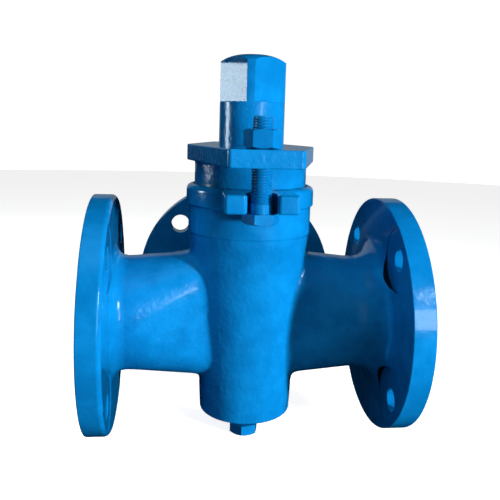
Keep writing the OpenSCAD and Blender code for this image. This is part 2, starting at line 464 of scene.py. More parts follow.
    def join(self, other: Shape, how: Join = Join.ADD) -> Shape:
        """Adds, cuts or intersects another solid, which is used up.

        Args:
            other: The other solid.
            how: What it does to this one.

        Returns:
            This shape.
        """
        tool = other._object()
        self._modified("BOOLEAN", object=tool, operation=how.value, solver="MANIFOLD")
        bpy.data.meshes.remove(tool.data)
        other.bm.free()
        return self

    def join_all(self, others: Iterable[Shape], how: Join = Join.ADD) -> Shape:
        """Adds, cuts or intersects several solids in turn."""
        for other in others:
            self.join(other, how)
        return self

    def cast(self, grain: float, passes: int) -> Shape:
        """Gives the shape a casting's soft corners: an even mesh, then smoothing.

        Args:
            grain: The size of a face.
            passes: How often the surface is smoothed.

        Returns:
            This shape.
        """
        self._modified("REMESH", mode="VOXEL", voxel_size=grain, use_smooth_shade=True)
        return self._modified("SMOOTH", factor=0.5, iterations=passes)

    def piece(
        self,
        name: str,
        finish: Finish,
        looks: Sequence[Look],
        body: str,
        node: str,
        place: Callable[[bmesh.types.BMFace], int] | None = None,
        smooth_below: float = 32.0,
    ) -> bpy.types.Object:
        """Turns the shape into a finished object in the frame, in metres.

        Args:
            name: The piece's name.
            finish: The record's slot; not used.
            looks: The finishes of the piece.
            body: The body that the piece moves with.
            node: The CAD node that it stands for.
            place: Gives the index of a face's finish.
            smooth_below: The angle in degrees under which faces shade as one.

        Returns:
            The object, at the origin and unturned.
        """
        self._tidy()
        if place:
            for face in self.bm.faces:
                face.material_index = place(face)
        bmesh.ops.scale(self.bm, verts=self.bm.verts, vec=(MM, MM, MM))
        bmesh.ops.translate(self.bm, verts=self.bm.verts, vec=(LAYOUT.stem_x * MM, 0, 0))
        mesh = bpy.data.meshes.new(name)
        self.bm.to_mesh(mesh)
        self.bm.free()
        mesh.shade_smooth()
        mesh.set_sharp_from_angle(angle=math.radians(smooth_below))
        for look in looks:
            mesh.materials.append(material(look))
        made = add_object(name, mesh)
        made.modifiers.new("Even", "WEIGHTED_NORMAL").keep_sharp = True
        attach(made, body)
        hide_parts(node)
        LOG.info("%s: %d faces", name, len(mesh.polygons))
        return made


@dataclass(frozen=True)
class RoundSlot:
    """A section with round corners, at one height: a circle when its straights are zero."""

    height: float
    corner_r: float
    straight_x: float = 0.0
    straight_y: float = 0.0
    segments: int = 64

    def draw(self, bm: bmesh.types.BMesh) -> list[bmesh.types.BMEdge]:
        """Draws the section as a loop: a circle whose quarters are moved apart.

        Args:
            bm: The mesh that it is drawn in.

        Returns:
            The loop's edges.
        """
        verts = bmesh.ops.create_circle(
            bm, cap_ends=False, radius=self.corner_r, segments=self.segments,
        )["verts"]
        bmesh.ops.rotate(bm, verts=verts, matrix=Matrix.Rotation(math.pi / self.segments, 3, "Z"))
        for vert in verts:
            vert.co.x += math.copysign(self.straight_x, vert.co.x)
            vert.co.y += math.copysign(self.straight_y, vert.co.y)
            vert.co.z = self.height
        return list({edge for vert in verts for edge in vert.link_edges})


LAYOUT = Layout.from_frame()


def hexagon(
    across_flats: float, bottom: float, top: float, turn: float, cut_top: bool = False,
) -> Shape:
    """Makes a hexagon whose lower corners are turned off by a cone, with soft edges.

    Args:
        across_flats: The width across the flats.
        bottom: The lower face.
        top: The upper face.
        turn: The angle in radians from a flat towards -Y.
        cut_top: Whether the upper corners are turned off too.

    Returns:
        The hexagon.
    """
    corner_r = across_flats / math.sqrt(3)
    washer_r = across_flats * WASHER_SHARE
    drop = (corner_r - washer_r) * CONE_SLOPE + CONE_SLOPE
    reach = corner_r + 1
    low = [Corner(washer_r, bottom), Corner(reach, bottom + drop)]
    high = [Corner(reach, top - drop), Corner(washer_r, top)] if cut_top else [Corner(reach, top)]
    prism = Shape.cylinder(corner_r, bottom, top, segments=6).turn(math.pi / 6)
    prism.join(Shape.turned(low + high), Join.KEEP_COMMON)
    return prism.round_edges(WORN_EDGE).turn(turn)


class Signal:
    """A node's output that takes part in Python expressions, which add Math nodes."""

    def __init__(self, paint: Paint, socket: bpy.types.NodeSocket) -> None:
        """Wraps an output of a material that is being made."""
        self.paint = paint
        self.socket = socket

    def _math(self, operation: str, first: object, second: object) -> Signal:
        """Adds one Math node."""
        return self.paint.node("ShaderNodeMath", "Value", {0: first, 1: second}, operation=operation)

    def __add__(self, other: object) -> Signal:
        """Adds a value."""
        return self._math("ADD", self, other)

    __radd__ = __add__

    def __sub__(self, other: object) -> Signal:
        """Takes a value away."""
        return self._math("SUBTRACT", self, other)

    def __rsub__(self, other: object) -> Signal:
        """Takes this from a value."""
        return self._math("SUBTRACT", other, self)

    def __mul__(self, other: object) -> Signal:
        """Multiplies by a value."""
        return self._math("MULTIPLY", self, other)

    def band(self, low: float, high: float) -> Signal:
        """Maps the range from low to high onto 0 to 1, eased and held at its ends."""
        inputs = {0: self, 1: low, 2: high}
        return self.paint.node("ShaderNodeMapRange", "Result", inputs, interpolation_type="SMOOTHSTEP")


class Paint:
    """A material in the making."""

    def __init__(self, name: str) -> None:
        """Starts an empty material with a Principled shader.

        Args:
            name: The material's name.
        """
        self.material = bpy.data.materials.new(name)
        self.material.use_nodes = True
        self.tree = self.material.node_tree
        self.tree.nodes.clear()
        self.shader = self.node("ShaderNodeBsdfPrincipled", "BSDF")
        output = self.tree.nodes.new("ShaderNodeOutputMaterial")
        self._feed(output.inputs["Surface"], self.shader)
        self.place = self.node("ShaderNodeTexCoord", "Object")

    def node(
        self, kind: str, output: str | int, inputs: dict[int | str, object] | None = None,
        **settings: object,
    ) -> Signal:
        """Adds a node.

        Args:
            kind: The node's type.
            output: The output that is used.
            inputs: Values or signals by socket name or number.
            **settings: The node's own settings, which are set first.

        Returns:
            The output.
        """
        made = self.tree.nodes.new(kind)
        for name, value in settings.items():
            setattr(made, name, value)
        for key, value in (inputs or {}).items():
            self._feed(made.inputs[key], value)
        return Signal(self, made.outputs[output])

    def _feed(self, socket: bpy.types.NodeSocket, value: object) -> None:
        """Links a signal to a socket, or sets the socket's value."""
        if isinstance(value, Signal):
            self.tree.links.new(value.socket, socket)
        else:
            socket.default_value = value

    def set(self, **values: object) -> None:
        """Sets or links the shader's sockets, with underscores for the spaces in their names."""
        for name, value in values.items():
            self._feed(self.shader.socket.node.inputs[name.replace("_", " ")], value)

    def _shifted(self, shift: Sequence[float], stretch: Sequence[float] = (1, 1, 1)) -> Signal:
        """Gives the place on the object, moved and stretched."""
        inputs = {"Vector": self.place, "Scale": tuple(stretch), "Location": tuple(shift)}
        return self.node("ShaderNodeMapping", "Vector", inputs, vector_type="POINT")

    def noise(
        self, size: float, detail: float = 2.0, stretch: Sequence[float] = (1, 1, 1), seed: float = 0.0,
    ) -> Signal:
        """Adds a noise, centred on one half.

        Args:
            size: The size of its features, in metres.
            detail: How many finer layers it has.
            stretch: How much finer it is along each axis.
            seed: Moves the pattern.

        Returns:
            The noise.
        """
        place = self._shifted((seed, seed * 0.7, -seed), stretch)
        inputs = {"Vector": place, "Scale": 1 / size, "Detail": detail, "Roughness": 0.55}
        return self.node("ShaderNodeTexNoise", "Fac", inputs, noise_dimensions="3D")

    def spots(self, spacing: float, radius: float, seed: float = 0.0) -> Signal:
        """Adds scattered round spots.

        Args:
            spacing: The mean distance between them, in metres.
            radius: Their radius as a share of the spacing.
            seed: Moves the pattern.

        Returns:
            One in a spot's middle, falling to zero at its radius.
        """
        inputs = {"Vector": self._shifted((seed, -seed, seed)), "Scale": 1 / spacing}
        distance = self.node("ShaderNodeTexVoronoi", "Distance", inputs, feature="F1")
        return 1 - distance.band(radius * 0.4, radius)

    def mix(self, share: Signal, first: Sequence[float] | Signal, second: Sequence[float]) -> Signal:
        """Mixes two colours.

        Args:
            share: How much of the second colour shows.
            first: The colour at 0.
            second: The colour at 1.

        Returns:
            The mixed colour.
        """
        start = first if isinstance(first, Signal) else (*first, 1.0)
        inputs = {"Factor": share, FIRST_COLOUR: start, SECOND_COLOUR: (*second, 1.0)}
        return self.node("ShaderNodeMix", MIXED_COLOUR, inputs, data_type="RGBA")

    def relief(self, height: Signal) -> Signal:
        """Turns a height over the surface, in metres, into a bumped normal."""
        return self.node("ShaderNodeBump", "Normal", {"Height": height, "Strength": 1.0, "Distance": 1.0})


@dataclass(frozen=True)
class Enamel:
    """Glossy blue enamel, brushed or sprayed over metal, in patchy tones with dust specks; its near-black
    variant is painted shade.
    """

    name: str
    deep: Triple = (0.0008, 0.125, 0.35)
    bright: Triple = (0.0015, 0.168, 0.45)
    grain_size: float = 0.0035
    grain_height: float = 0.00045
    wave_height: float = 0.00035
    peel_height: float = 0.000016
    roughness: float = 0.14
    coat: float = 0.55
    coat_roughness: float = 0.05

    def material(self) -> bpy.types.Material:
        """Makes the enamel.

        Returns:
            The material.
        """
        paint = Paint(self.name)
        patches = paint.noise(0.045, 3.0)
        film = paint.noise(0.012, 4.0, seed=1.3)
        grain = paint.noise(self.grain_size, 4.0, seed=2.1)
        wave = paint.noise(0.022, 2.0, seed=3.7)
        peel = paint.noise(0.0013, 1.0, seed=5.1)
        dust = paint.spots(0.0075, 0.10, seed=0.4) * film.band(0.52, 0.66)
        tone = patches * 0.6 + film * 0.4
        colour = paint.mix(tone.band(0.36, 0.64), self.deep, self.bright)
        colour = paint.mix(dust * 0.35, colour, (0.03, 0.20, 0.42))
        height = grain * self.grain_height + wave * self.wave_height + peel * self.peel_height
        height = height + dust * 0.00006
        rough = self.roughness + (film - 0.5) * 0.16 + (grain - 0.5) * 0.08 + dust * 0.2
        paint.set(Base_Color=colour, Roughness=rough, Normal=paint.relief(height))
        paint.set(IOR=1.52, Coat_Weight=self.coat, Coat_Roughness=self.coat_roughness, Specular_IOR_Level=0.5)
        return paint.material


@dataclass(frozen=True)
class TurnedMetal:
    """Bare metal with the fine rings of a lathe about the stem's axis."""

    name: str
    colour: Triple
    tarnish: Triple
    roughness: float = 0.34

    def material(self) -> bpy.types.Material:
        """Makes the metal.

        Returns:
            The material.
        """
        paint = Paint(self.name)
        blotch = paint.noise(0.009, 4.0)
        rings = paint.noise(0.0006, 2.0, stretch=(0.02, 0.02, 1.0), seed=2.0)
        colour = paint.mix(blotch.band(0.42, 0.68), self.colour, self.tarnish)
        rough = self.roughness + (blotch - 0.5) * 0.3 + (rings - 0.5) * 0.1
        paint.set(Base_Color=colour, Roughness=rough, Metallic=1.0, Normal=paint.relief(rings * 0.00001))
        return paint.material


@dataclass(frozen=True)
class CastIronSkin:
    """The unpainted inside of the casting: grey, grainy and faintly rusted."""

    name: str = "bare_passage"

    def material(self) -> bpy.types.Material:
        """Makes the bare casting.

        Returns:
            The material.
        """
        paint = Paint(self.name)
        rust = paint.noise(0.014, 5.0, seed=4.0)
        grain = paint.noise(0.0016, 4.0, seed=1.0)
        colour = paint.mix(grain.band(0.3, 0.7), (0.09, 0.09, 0.095), (0.17, 0.17, 0.175))
        colour = paint.mix(rust.band(0.56, 0.72) * 0.7, colour, (0.16, 0.07, 0.035))
        rough = 0.55 + (grain - 0.5) * 0.3
        paint.set(Base_Color=colour, Roughness=rough, Metallic=0.75, Normal=paint.relief(grain * 0.00012))
        return paint.material


@dataclass(frozen=True)
class Graphite:
    """Pressed graphite of the packing rings: dark, layered and slightly greasy."""

    name: str = "pressed_graphite"

    def material(self) -> bpy.types.Material:
        """Makes the graphite.

        Returns:
            The material.
        """
        paint = Paint(self.name)
        layers = paint.noise(0.0009, 2.0, stretch=(0.15, 0.15, 1.0))
        flake = paint.noise(0.0012, 3.0, seed=2.0)
        colour = paint.mix(flake.band(0.35, 0.7), (0.018, 0.018, 0.02), (0.06, 0.06, 0.064))
        height = layers * 0.00005 + flake * 0.00003
        rough = 0.42 + (flake - 0.5) * 0.3
        paint.set(Base_Color=colour, Roughness=rough, Metallic=0.3, Normal=paint.relief(height))
        return paint.material


class Look(Enum):
    """Every finish of the valve."""

    CAST_ENAMEL = Enamel("enamel_on_casting")
    SMOOTH_ENAMEL = Enamel("enamel_on_steel", grain_height=0.00020, wave_height=0.00020)
    FASTENER_ENAMEL = Enamel(
        "enamel_on_fasteners", grain_size=0.002, grain_height=0.00008, wave_height=0.00008,
        roughness=0.18,
    )
    STEM_ENAMEL = Enamel("enamel_on_stem", grain_size=0.0026, grain_height=0.0004, wave_height=0.00016)
    BRUSHED_ENAMEL = Enamel(
        "enamel_brushed_thick", grain_size=0.0052, grain_height=0.0050, wave_height=0.00016,
        coat=0.9, coat_roughness=0.03,
    )
    # Near-black enamel for the spot-face pocket walls: painted shade standing in for the shadow in these
    # pockets
    POCKET_SHADE_ENAMEL = Enamel(
        "enamel_painted_pocket_shade", (0.0004, 0.003, 0.008), (0.0006, 0.008, 0.02), roughness=0.6, coat=0.0,
    )
    BARE_CASTING = CastIronSkin()
    STEEL = TurnedMetal("turned_steel", (0.52, 0.52, 0.53), (0.28, 0.27, 0.26))
    COPPER = TurnedMetal("soft_copper", (0.85, 0.45, 0.28), (0.42, 0.22, 0.14))
    GRAPHITE = Graphite()


@cache
def material(look: Look) -> bpy.types.Material:
    """Makes a finish's material, once."""
    return look.value.material()


def dress(node: str, look: Look) -> None:
    """Gives a CAD node a finish."""
    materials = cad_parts[node].data.materials
    materials.clear()
    materials.append(material(look))


@dataclass
class ValveBody:
    """The casting: tapered barrel, three necks and flanges, stuffing box, collar and lugs."""

    looks: tuple[Look, ...] = (
        Look.CAST_ENAMEL, Look.SMOOTH_ENAMEL, Look.BARE_CASTING, Look.POCKET_SHADE_ENAMEL,
    )
    rough: int = 0
    smooth: int = 1
    bare: int = 2
    # Slot of the near-black enamel: painted shade in the spot-face pockets
    pocket_shade: int = 3
    rim_t: float = 18.0
    face_r: float = 67.5
    face_h: float = 2.0
    bore_r: float = 40.0
    bolt_circle_r: float = 80.0
    bolt_hole_r: float = 9.0
    hub_r: float = 47.1
    spot_r: float = 26.0
    spot_h: float = 16.0
    collar_r: float = 52.5
    collar_low: float = 92.6
    box_outer_r: float = 50.6
    box_r: float = 46.3
    step_z: float = 70.0
    seat_top: float = 64.0
    seat_low: float = -58.0
    relief_r: float = 31.6
    relief_low: float = -72.0
    mouth_depth: float = 30.0
    port_slot_r: float = 18.0
    port_straight: float = 24.0
    lug_root: float = 30.0
    lug_half: float = 27.5
    lug_reach: float = 82.0
    lug_low: float = 94.0
    lug_high: float = 108.0
    slot_half: float = 10.9
    prong_round: float = 3.0
    lap: float = 3.0
    neck_foot: tuple[RoundSlot, ...] = (RoundSlot(28, 22, 31, 4.5), RoundSlot(8, 22, 32, 2))
    barrel: tuple[Corner, ...] = (
        Corner(38.2, -80), Corner(39.5, -58), Corner(50.2, 70), Corner(50.0, 88),
    )
    cast_grain: float = 1.6
    cast_passes: int = 44

    def seat_radius(self, height: float) -> float:
        """Gives the tapered seat's radius at a height."""
        return 35.46 + height / TAPER_RUN

    def _neck(self, port: Port) -> Shape:
        """Makes a neck's core, from inside its rim to its tall foot in the barrel."""
        hub_start = port.reach - self.face_h - self.rim_t - port.hub_fillet - self.lap
        hub = (RoundSlot(port.reach - 10, self.hub_r - 0.1), RoundSlot(hub_start, self.hub_r - 0.1))
        return Shape.lofted(hub + self.neck_foot).along(port)

    def _core(self) -> Shape:
        """Makes the cast core: the tapered barrel and necks, blended as sand-cast metal is."""
        core = Shape.turned(self.barrel).join_all(self._neck(port) for port in LAYOUT.ports)
        return core.cast(self.cast_grain, self.cast_passes)

    def _foot(self) -> Shape:
        """Makes the crisp flat foot of the barrel."""
        return Shape.turned((Corner(38.3, LAYOUT.bottom, 1.4), Corner(39.3, -62), Corner(38.2, -54)))

    def _top(self) -> Shape:
        """Makes the stuffing box's wall and its collar."""
        low = self.step_z - self.lap
        return Shape.turned((
            Corner(self.box_outer_r - 2, low), Corner(self.box_outer_r, self.step_z, 0.6),
            Corner(self.box_outer_r, self.collar_low - 0.6, 0.8),
            Corner(self.collar_r, self.collar_low, 0.8),
            Corner(self.collar_r, LAYOUT.rim, 4.5),
        ))

    def _flange(self, port: Port) -> Shape:
        """Makes a flange with its hub fillet and raised face."""
        front = port.reach - self.face_h
        back = front - self.rim_t
        start = back - port.hub_fillet - self.lap
        rim_r = LAYOUT.flange_r
        return Shape.turned((
            Corner(self.hub_r - 1.2, start), Corner(self.hub_r, start + 6),
            Corner(self.hub_r, back, port.hub_fillet), Corner(rim_r, back, port.inner_edge),
            Corner(rim_r, front, 1.0), Corner(self.face_r, front), Corner(self.face_r, port.reach, 0.4),
        ), segments=144).along(port)

    def _lug(self) -> Shape:
        """Makes the back lug: two worn prongs and the web between them."""
        web_half = self.slot_half + 1
        low, high, reach = self.lug_low, self.lug_high, self.lug_reach
        web_end = LAYOUT.bolt_reach - 2
        lug = Shape.block((-web_half, self.lug_root, low + 0.1), (web_half, web_end, high - 0.1))
        for inner, outer in ((-self.lug_half, -self.slot_half), (self.slot_half, self.lug_half)):
            outline = (
                Corner(inner, self.lug_root), Corner(outer, self.lug_root),
                Corner(outer, reach, self.prong_round), Corner(inner, reach, self.prong_round),
            )
            lug.join(Shape.prism(outline, low, high).round_edges(1.9, steps=4, sharper_than=40))
        return lug

    def _lug_slot(self) -> Shape:
        """Makes the cutter of the round end of the back lug's open slot."""
        slot = Shape.cylinder(self.slot_half, self.lug_low - 2, self.lug_high + 2)
        return slot.move(y=LAYOUT.bolt_reach)

    def _cavity(self) -> Shape:
        """Makes the cutter of the seat, its relief, the stuffing box and the jack screw's hole."""
        rim, bottom = LAYOUT.rim, LAYOUT.bottom
        return Shape.turned((
            Corner(7.9, bottom - 1), Corner(7.05, bottom + 1), Corner(7.05, self.relief_low),
            Corner(self.relief_r, self.relief_low), Corner(self.relief_r, self.seat_low),
            Corner(self.seat_radius(self.seat_low), self.seat_low),
            Corner(self.seat_radius(self.seat_top), self.seat_top), Corner(self.box_r, self.seat_top),
            Corner(self.box_r, rim - 1.2), Corner(self.box_r + 1.6, rim + 0.4),
        ))

    def _passage(self, port: Port) -> Shape:
        """Makes the cutter of a port: round bore, blend, and tall port through the seat."""
        straight = port.reach - self.mouth_depth
        mouth = Shape.turned((
            Corner(self.bore_r, straight - 2), Corner(self.bore_r, port.reach - 1),
            Corner(self.bore_r + 1.5, port.reach + 0.5),
        ))
        slot = [RoundSlot(height, self.port_slot_r, self.port_straight) for height in (36, 10)]
        blend = Shape.lofted([RoundSlot(straight + 1, self.bore_r - 0.6), *slot])
        return mouth.join(blend).along(port)

    def _bolt_holes(self, port: Port) -> list[Shape]:
        """Makes the cutters of a flange's bolt holes and of the spot faces behind them."""
        front = port.reach - self.face_h
        back = front - self.rim_t
        r = self.bolt_hole_r
        cutters = []
        for quarter in range(4):
            hole = Shape.turned((
                Corner(r + 2.6, back - 2), Corner(r, back + 0.9), Corner(r, front - 0.8),
                Corner(r + 2.2, front + 1.4),
            ), segments=40)
            spot = Shape.cylinder(self.spot_r, back - self.spot_h, back + 0.35)
            hole.coat(self.smooth)
            # The right and branch flanges' spot-face walls take the near-black enamel: painted shade for the
            # shadow in the pockets
            spot.coat(self.smooth, sides=self.pocket_shade if port.angle < math.pi else self.smooth)
            for cutter in (spot, hole):
                cutter.move(x=self.bolt_circle_r).turn((quarter + 0.5) * math.pi / 2)
                cutters.append(cutter.along(port))
        return cutters

    def build(self) -> None:
        """Builds the body, which rides on its own CAD body."""
        front_and_back = (math.pi, 0.0)
        body = self._core().coat(self.rough)
        body.join(self._foot().coat(self.rough)).join(self._top().coat(self.smooth))
        body.join_all(self._lug().turn(about).coat(self.smooth) for about in front_and_back)
        body.join_all(self._flange(port).coat(self.smooth) for port in LAYOUT.ports)
        body.join(self._cavity().coat(self.bare), Join.CUT)
        body.join_all((self._passage(port).coat(self.bare) for port in LAYOUT.ports), Join.CUT)
        for port in LAYOUT.ports:
            body.join_all(self._bolt_holes(port), Join.CUT)
        slots = (self._lug_slot().turn(about).coat(self.smooth) for about in front_and_back)
        body.join_all(slots, Join.CUT)
        body.piece("valve_body", Finish.CASTING, self.looks, "body", "body")


@dataclass
class Plug:
    """The taper plug with its stem and square head."""

    stem_r: float = 26.7
    taper_top: float = 60.0
    shoulder: float = 175.3
    head_half: float = 21.0
    head_angle: float = math.radians(35)
    cone_h: float = 6.2
    cone_in: float = 8.5
    crown_h: float = 0.6
    crown_round: float = 7.5
    port_half_w: float = 18.0
    port_straight: float = 24.0
    mark_w: float = 4.0
    mark_depth: float = 3.0
    paint_depth: float = 6.0

    def _radius(self, height: float) -> float:
        """Gives the taper's radius at a height."""
        return 35.4 + height / TAPER_RUN

    def _head(self) -> Shape:
        """Makes the square head with its corners turned off and a cone at its top."""
        top = LAYOUT.head_top
        low = self.shoulder - 12
        half = self.head_half
        square = Shape.block((-half, -half, low), (half, half, top)).turn(self.head_angle)
        turned = Shape.turned((
            Corner(self.stem_r, low), Corner(self.stem_r, top - self.cone_h),
            Corner(self.stem_r - self.cone_in, top - self.crown_h, self.crown_round), Corner(0, top),
        ), segments=128)
        return square.join(turned, Join.KEEP_COMMON).round_edges(0.5, steps=3, sharper_than=12)

    def _marks(self) -> list[Shape]:
        """Makes the cutters of the T-shaped groove that shows how the port lies."""
        low = LAYOUT.head_top - self.mark_depth
        high = LAYOUT.head_top + 1
        half = self.mark_w / 2
        bar = Shape.block((-self.head_half - 2, -half, low), (self.head_half + 2, half, high))
        leg = Shape.block((-half, 0, low), (half, self.head_half + 2, high))
        return [bar, leg]

    def _ports(self) -> list[Shape]:
        """Makes the cutters of the T-shaped port."""
        sections = [RoundSlot(height, self.port_half_w, self.port_straight) for height in (-1, 44)]
        return [Shape.lofted(sections).along(port) for port in LAYOUT.ports]

    def build(self) -> None:
        """Builds the plug, which rides on its own body."""
        bottom = LAYOUT.plug_bottom
        plug = Shape.turned((
            Corner(self._radius(bottom), bottom, 0.8),
            Corner(self._radius(self.taper_top), self.taper_top, 0.8), Corner(self.stem_r, self.taper_top),
            Corner(self.stem_r, LAYOUT.plate_top - self.paint_depth),
            Corner(self.stem_r, self.shoulder, 0.7),
        ), segments=128)
        plug.join_all(self._ports(), Join.CUT)
        plug.join(self._head())
        plug.join_all(self._marks(), Join.CUT)
        looks = (Look.STEM_ENAMEL, Look.STEEL, Look.BRUSHED_ENAMEL)
        plug.piece("plug_and_stem", Finish.MACHINED, looks, "plug", "plug", self._place, smooth_below=28)

    def _place(self, face: bmesh.types.BMFace) -> int:
        """Picks a face's finish: enamel above the gland, thick on the head's left, bare below."""
        height = face.calc_center_median().z
        if height > self.shoulder and face.normal.x < -0.75:
            return 2
        return 0 if height > LAYOUT.plate_top - self.paint_depth else 1


@dataclass
class Gland:
    """The gland: a long hexagonal plate with a sleeve that presses on the packing."""

    plate_t: float = 13.0
    side_x: float = 52.7
    end_x: float = 26.5
    end_y: float = 96.5
    sleeve_r: float = 46.0
    bore_r: float = 27.0
    hole_r: float = 9.0

    def _plate(self) -> Shape:
        """Makes the plate with soft edges."""
        top, side, end, far = LAYOUT.plate_top, self.side_x, self.end_x, self.end_y
        outline = (
            Corner(side, 0, 1.6), Corner(end, far, 2.6), Corner(-end, far, 2.6),
            Corner(-side, 0, 1.6), Corner(-end, -far, 2.6), Corner(end, -far, 2.6),
        )
        return Shape.prism(outline, top - self.plate_t, top).round_edges(1.1, steps=3, sharper_than=40)

    def _sleeve(self) -> Shape:
        """Makes the sleeve, with a cast fillet under the plate."""
        under = LAYOUT.plate_top - self.plate_t
        low = LAYOUT.sleeve_bottom
        return Shape.turned((
            Corner(self.sleeve_r, low, 0.8), Corner(self.sleeve_r, under, 2.4),
            Corner(self.sleeve_r + 4, under), Corner(self.sleeve_r + 4, under + 3),
        ), segments=128)

    def _bore(self, radius: float, bottom: float) -> Shape:
        """Makes the cutter of a hole with a small chamfer at its top."""
        top = LAYOUT.plate_top
        return Shape.turned((
            Corner(radius, bottom - 1), Corner(radius, top - 0.8), Corner(radius + 1.2, top + 0.4),
        ))

    def build(self) -> None:
        """Builds the gland, which rides on its own body."""
        gland = self._plate().join(self._sleeve())
        gland.join(self._bore(self.bore_r, LAYOUT.sleeve_bottom), Join.CUT)
        for side in (-1, 1):
            hole = self._bore(self.hole_r, LAYOUT.plate_top - self.plate_t)
            gland.join(hole.move(y=side * LAYOUT.bolt_reach), Join.CUT)
        looks = (Look.CAST_ENAMEL, Look.STEEL)
        gland.piece("gland_plate", Finish.CASTING, looks, "gland", "gland", self._place)

    def _place(self, face: bmesh.types.BMFace) -> int:
        """Picks a face's finish: bare metal in the bore and where the sleeve works."""
        centre = face.calc_center_median()
        across = math.hypot(centre.x, centre.y)
        inside = across < self.bore_r + 0.3 and centre.z < LAYOUT.plate_top - 0.6
        return 1 if inside or centre.z < LAYOUT.sleeve_bottom + 5 else 0


@dataclass
class GlandFasteners:
    """The two gland bolts, their heads under the lugs, and the nuts on the gland."""

    thread_r: float = 7.95
    shank_r: float = 7.8
    pitch: float = 2.0
    across_flats: float = 24.0
    head_h: float = 8.0
    plain_top: float = 101.0
    nut_h: float = 14.0
    head_turn: float = math.radians(5)
    nut_turn: float = math.radians(-7)

    def _bolt(self) -> Shape:
        """Makes a bolt on the axis: hexagon head, plain shank and thread."""
        low = LAYOUT.bolt_bottom
        head = hexagon(self.across_flats, low, low + self.head_h, self.head_turn)
        head.join(Shape.cylinder(self.shank_r, low + self.head_h - 1, self.plain_top))
        end = LAYOUT.bolt_end
        thread = Shape.thread(self.thread_r, self.pitch, self.plain_top - 1, end)
        point = Shape.turned((
            Corner(self.thread_r + 1, self.plain_top - 2), Corner(self.thread_r + 1, end - 2.4),
            Corner(self.thread_r - 1.6, end, 0.5),
        ))
        return head.join(thread.join(point, Join.KEEP_COMMON))

    def _nut(self) -> Shape:
        """Makes a nut on the axis."""
        low = LAYOUT.plate_top
        high = low + self.nut_h
        nut = hexagon(self.across_flats, low, high, self.nut_turn, cut_top=True)
        wide, narrow = self.thread_r + 1.6, self.thread_r + 0.1
        hole = Shape.turned((
            Corner(wide, low - 1), Corner(narrow, low + 0.9), Corner(narrow, high - 0.9),
            Corner(wide, high + 1),
        ))
        return nut.join(hole, Join.CUT)

    def build(self) -> None:
        """Builds both bolts, which ride on the body, and both nuts, which ride on their own."""
        look = (Look.FASTENER_ENAMEL,)
        bolt, nut = (shape.move(y=-LAYOUT.bolt_reach) for shape in (self._bolt(), self._nut()))
        for word, about in (("front", 0.0), ("back", math.pi)):
            bolt_node, nut_node = f"gland_bolt_{word}", f"gland_nut_{word}"
            bolt.copy().turn(about).piece(f"bolt_{word}", Finish.FASTENER, look, "body", bolt_node)
            nut.copy().turn(about).piece(f"nut_{word}", Finish.FASTENER, look, nut_node, nut_node)


@dataclass
class JackScrew:
    """The screw under the body with its lock nut, and the bare pieces that go with it."""

    thread_r: float = 6.95
    pitch: float = 2.0
    across_flats: float = 22.0
    head_h: float = 8.8
    turn: float = math.radians(16)
    seal_h: float = 2.0
    lock_h: float = 8.0

    def build(self) -> None:
        """Builds the screw and its lock nut, and finishes the CAD pieces beside them."""
        look = (Look.FASTENER_ENAMEL,)
        low = LAYOUT.jack_bottom
        screw = hexagon(self.across_flats, low, low + self.head_h, self.turn)
        screw.join(Shape.thread(self.thread_r, self.pitch, low + self.head_h - 1, LAYOUT.jack_tip))
        high = LAYOUT.bottom - self.seal_h
        nut = hexagon(self.across_flats, high - self.lock_h, high, self.turn)
        nut.join(Shape.cylinder(self.thread_r + 0.1, high - self.lock_h - 1, high + 1), Join.CUT)
        dress("thrust_pad", Look.STEEL)
        dress("jack_seal_washer", Look.COPPER)
        screw.piece("jack_screw_head", Finish.FASTENER, look, "jack_screw", "jack_screw")
        nut.piece("lock_nut", Finish.FASTENER, look, "body", "jack_lock_nut")


@dataclass
class Packing:
    """The graphite rings in the stuffing box and the washer under them."""

    inner_r: float = 27.0
    outer_r: float = 46.2
    washer_top: float = 68.0
    count: int = 4
    kept_when_pressed: float = 0.68

    def build(self) -> None:
        """Builds the rings, which ride on the body."""
        dress("packing_washer", Look.STEEL)
        height = (LAYOUT.sleeve_bottom - self.washer_top) / self.count
        for index in range(self.count):
            low = self.washer_top + index * height
            high = low + height - 0.05
            ring = Shape.turned((
                Corner(self.inner_r, low, 0.5), Corner(self.outer_r, low, 0.5),
                Corner(self.outer_r, high, 0.5), Corner(self.inner_r, high, 0.5),
            ), ring=True)
            name, node = f"graphite_ring_{index + 1}", f"packing_ring_{index + 1}"
            piece = ring.piece(name, Finish.GRAPHITE, (Look.GRAPHITE,), "body", node)
            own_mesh(piece)


@dataclass(frozen=True)
class SoftBox:
    """A rectangular studio light, placed by its azimuth and elevation in degrees about its aim.

    Azimuth 0 is in front of the valve and 90 to its right. A light that is not reflected is kept
    out of the enamel's highlights, and a card, which lights nothing, shows only in them.
    """

    name: str
    azimuth: float
    elevation: float
    distance: float
    width: float
    height: float
    power: float
    reflected: bool = True
    lit: bool = True
    aim: Triple = (0.0, 0.0, 30.0)
    card_tint: Triple = (0.72, 0.9, 1.0)

    def build(self) -> None:
        """Hangs the light."""
        target = Vector((self.aim[0] + LAYOUT.stem_x, self.aim[1], self.aim[2])) * MM
        lamp = bpy.data.lights.new(self.name, "AREA")
        lamp.shape = "RECTANGLE"
        lamp.size, lamp.size_y, lamp.energy = self.width, self.height, self.power
        if not self.lit:
            lamp.color = self.card_tint
        a, e = math.radians(self.azimuth), math.radians(self.elevation)
        away = Vector((math.sin(a) * math.cos(e), -math.cos(a) * math.cos(e), math.sin(e)))
        light = add_object(self.name, lamp)
        light.location = target + away * self.distance
        light.rotation_euler = (-away).to_track_quat("-Z", "Y").to_euler()
        light.visible_camera = False
        light.visible_glossy = self.reflected
        light.visible_diffuse = self.lit


